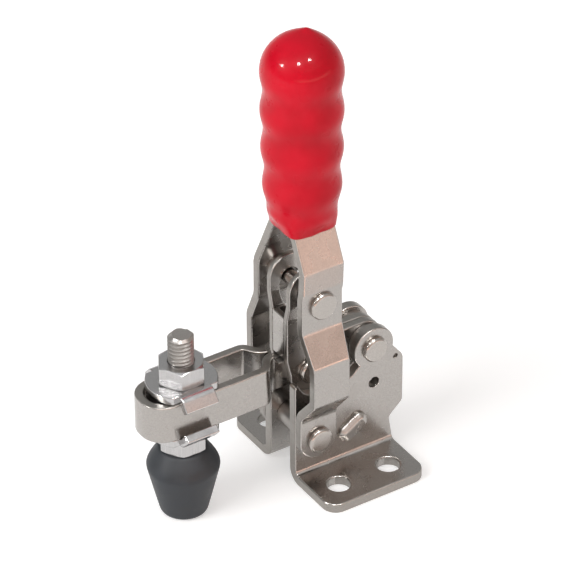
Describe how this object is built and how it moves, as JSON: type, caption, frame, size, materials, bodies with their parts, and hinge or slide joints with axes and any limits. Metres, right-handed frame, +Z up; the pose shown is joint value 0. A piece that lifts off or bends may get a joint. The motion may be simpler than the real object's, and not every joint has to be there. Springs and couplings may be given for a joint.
{
  "type": "toggle clamp",
  "caption": "Hold-down toggle clamp with an upright dipped handle, a folded link, a looped arm, a flanged base and an adjustable stud with a rubber tip.",
  "frame": {"origin": "on the mounting face, at the centre of the base's bolt holes", "axes": "+Z up, away from the bench; the arm points to -X and the handle opens towards +X; Y runs across the clamp"},
  "size_m": [0.0661, 0.0424, 0.115],
  "materials": {
    "base_steel": "satin stainless sheet, tumbled",
    "strap_steel": "satin stainless sheet, tumbled",
    "link_steel": "satin stainless sheet, tumbled",
    "arm_steel": "satin stainless strip, tumbled",
    "rivets": "turned stainless, bright",
    "spacers": "turned stainless",
    "fasteners": "bright stainless",
    "grip_vinyl": "glossy dipped vinyl",
    "tip_rubber": "moulded matte rubber"
  },
  "bodies": {
    "base": {"base_plate_far": "base_steel", "base_plate_near": "base_steel", "base_rivet": "rivets", "base_sleeve": "spacers", "arm_rivet": "rivets", "arm_washer_far": "spacers", "arm_washer_near": "spacers"},
    "handle": {"strap_far": "strap_steel", "strap_near": "strap_steel", "toggle_rivet": "rivets", "toggle_spacer_far": "spacers", "toggle_spacer_near": "spacers", "grip": "grip_vinyl"},
    "arm": {"arm": "arm_steel"},
    "link": {"link": "link_steel", "link_rivet": "rivets"},
    "spindle": {"stud": "fasteners", "washer_upper": "fasteners", "washer_lower": "fasteners", "nut_upper": "fasteners", "nut_lower": "fasteners", "rubber_tip": "tip_rubber"}
  },
  "joints": [
    {"name": "handle_pivot", "type": "hinge", "parent": "base", "child": "handle", "pos_m": [-0.00835, 0, 0.0123], "axis": [0, 1, 0], "range_deg": [0, 57]},
    {"name": "arm_pivot", "type": "hinge", "parent": "base", "child": "arm", "pos_m": [0.0081, 0, 0.0296], "axis": [0, 1, 0], "range_deg": [0, 82.18]},
    {"name": "link_pivot", "type": "hinge", "parent": "arm", "child": "link", "pos_m": [-0.0072, 0, 0.0281], "axis": [0, 1, 0], "range_deg": [0, 42.13]},
    {"name": "spindle_slide", "type": "slide", "parent": "arm", "child": "spindle", "axis": [1, 0, 0], "range_m": [-0.004, 0.014]}
  ],
  "couplings": [
    {"joint": "arm_pivot", "follows": "handle_pivot", "ratio": 1.4416},
    {"joint": "link_pivot", "follows": "handle_pivot", "ratio": 0.73893}
  ]
}
